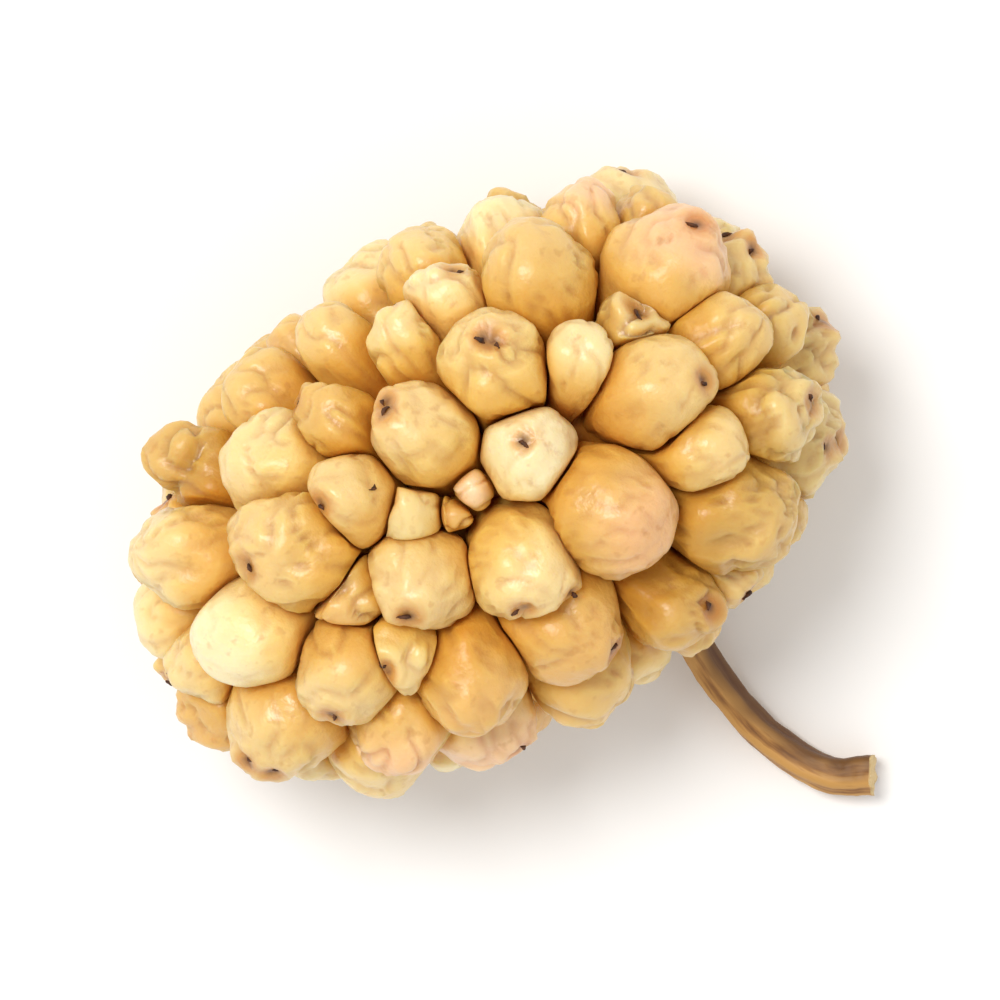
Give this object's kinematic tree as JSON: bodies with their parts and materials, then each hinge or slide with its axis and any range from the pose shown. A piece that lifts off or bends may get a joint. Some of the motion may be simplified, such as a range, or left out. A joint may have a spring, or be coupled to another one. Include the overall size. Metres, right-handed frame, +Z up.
{
  "type": "dried mulberry",
  "caption": "Dried white mulberry lying on its side: a blunt oval head of plump, closely packed kernels, with a thin curled stalk coming out from under it.",
  "frame": {"origin": "on the surface the berry lies on, at the middle of the flat spot under the head's centre", "axes": "+X along the head from its narrow tip to its blunt stalk end, +Z up, and the stalk reaches out towards -Y"},
  "size_m": [0.0176, 0.0182, 0.0108],
  "materials": {
    "flesh": "waxy, cream to amber",
    "stalk": "dry, matt tan brown"
  },
  "bodies": {
    "root": {"fruit": "flesh", "stalk": "stalk"}
  },
  "joints": []
}
